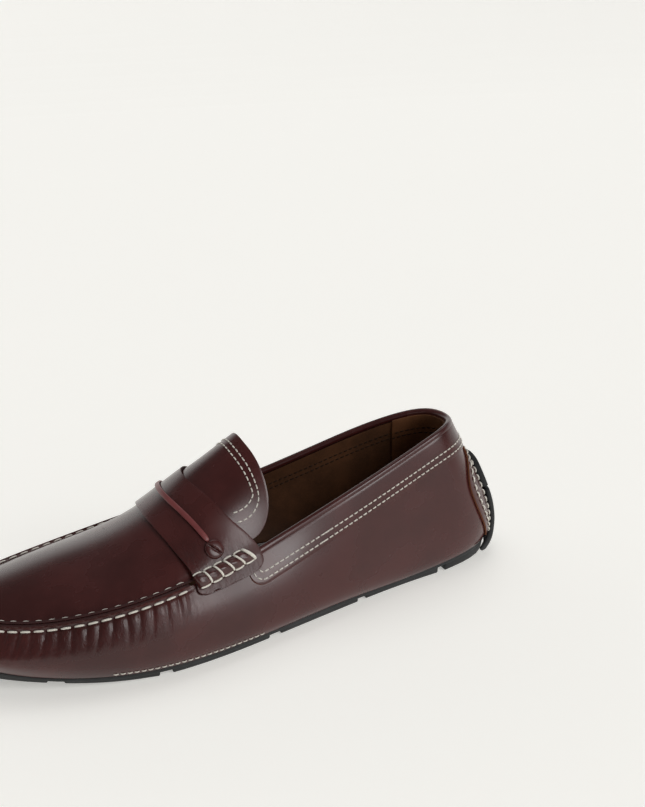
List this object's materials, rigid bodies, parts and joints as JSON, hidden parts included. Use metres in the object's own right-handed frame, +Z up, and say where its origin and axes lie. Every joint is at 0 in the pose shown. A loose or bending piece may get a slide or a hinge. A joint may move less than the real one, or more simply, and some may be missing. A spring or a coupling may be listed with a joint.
{
  "type": "driving moccasin shoe",
  "caption": "Slip-on driving moccasin: hand-sewn toe apron, saddle strap with whipped rolls, raised tongue, padded footbed and a blocked rubber sole that climbs the heel.",
  "frame": {"origin": "centre of the shoe's box, on the ground", "axes": "+X towards the heel, -X towards the toe, -Y is the outer (lateral) side of the left foot, +Z up"},
  "size_m": [0.294, 0.1066, 0.0867],
  "materials": {
    "leather_oxblood": "polished smooth calf, dark oxblood with a soft sheen",
    "leather_rose": "lighter rosy burgundy strip, satin",
    "leather_lining": "matt brown lining leather",
    "thread_cream": "waxed cream thread",
    "rubber_black": "matt dark grey-black rubber",
    "counter_board": "stiffened fibre sheet, hidden",
    "foam_footbed": "soft foam, hidden under the sock"
  },
  "bodies": {
    "shoe": {"apron": "leather_oxblood", "band_thread_lower": "thread_cream", "band_thread_upper": "thread_cream", "beef_roll_lateral": "leather_oxblood", "beef_roll_medial": "leather_oxblood", "collar_band": "leather_oxblood", "heel_counter": "counter_board", "heel_guard_lower": "rubber_black", "heel_guard_thread": "thread_cream", "heel_guard_upper": "rubber_black", "heel_lining": "leather_lining", "heel_tab": "leather_oxblood", "heel_tab_thread": "thread_cream", "insole_foam": "foam_footbed", "insole_sock": "leather_lining", "keeper_disc_lateral": "leather_oxblood", "keeper_disc_medial": "leather_oxblood", "keeper_strip": "leather_rose", "outsole": "rubber_black", "quarter_lining_lateral": "leather_lining", "quarter_lining_medial": "leather_lining", "roll_thread_lateral": "thread_cream", "roll_thread_medial": "thread_cream", "saddle": "leather_oxblood", "seam_thread_inner": "thread_cream", "seam_thread_outer": "thread_cream", "sole_thread_lateral": "thread_cream", "sole_thread_medial": "thread_cream", "topline_binding": "leather_oxblood", "upper": "leather_oxblood"},
    "tongue": {"tongue": "leather_oxblood", "tongue_lining": "leather_lining", "tongue_thread_outer": "thread_cream", "tongue_thread_inner": "thread_cream"}
  },
  "joints": [
    {"name": "tongue_lift", "type": "hinge", "parent": "shoe", "child": "tongue", "pos_m": [-0.0202, 0.004, 0.071], "axis": [0, -1, 0], "range_deg": [-5, 25], "stiffness_Nm_per_rad": 0.02}
  ]
}
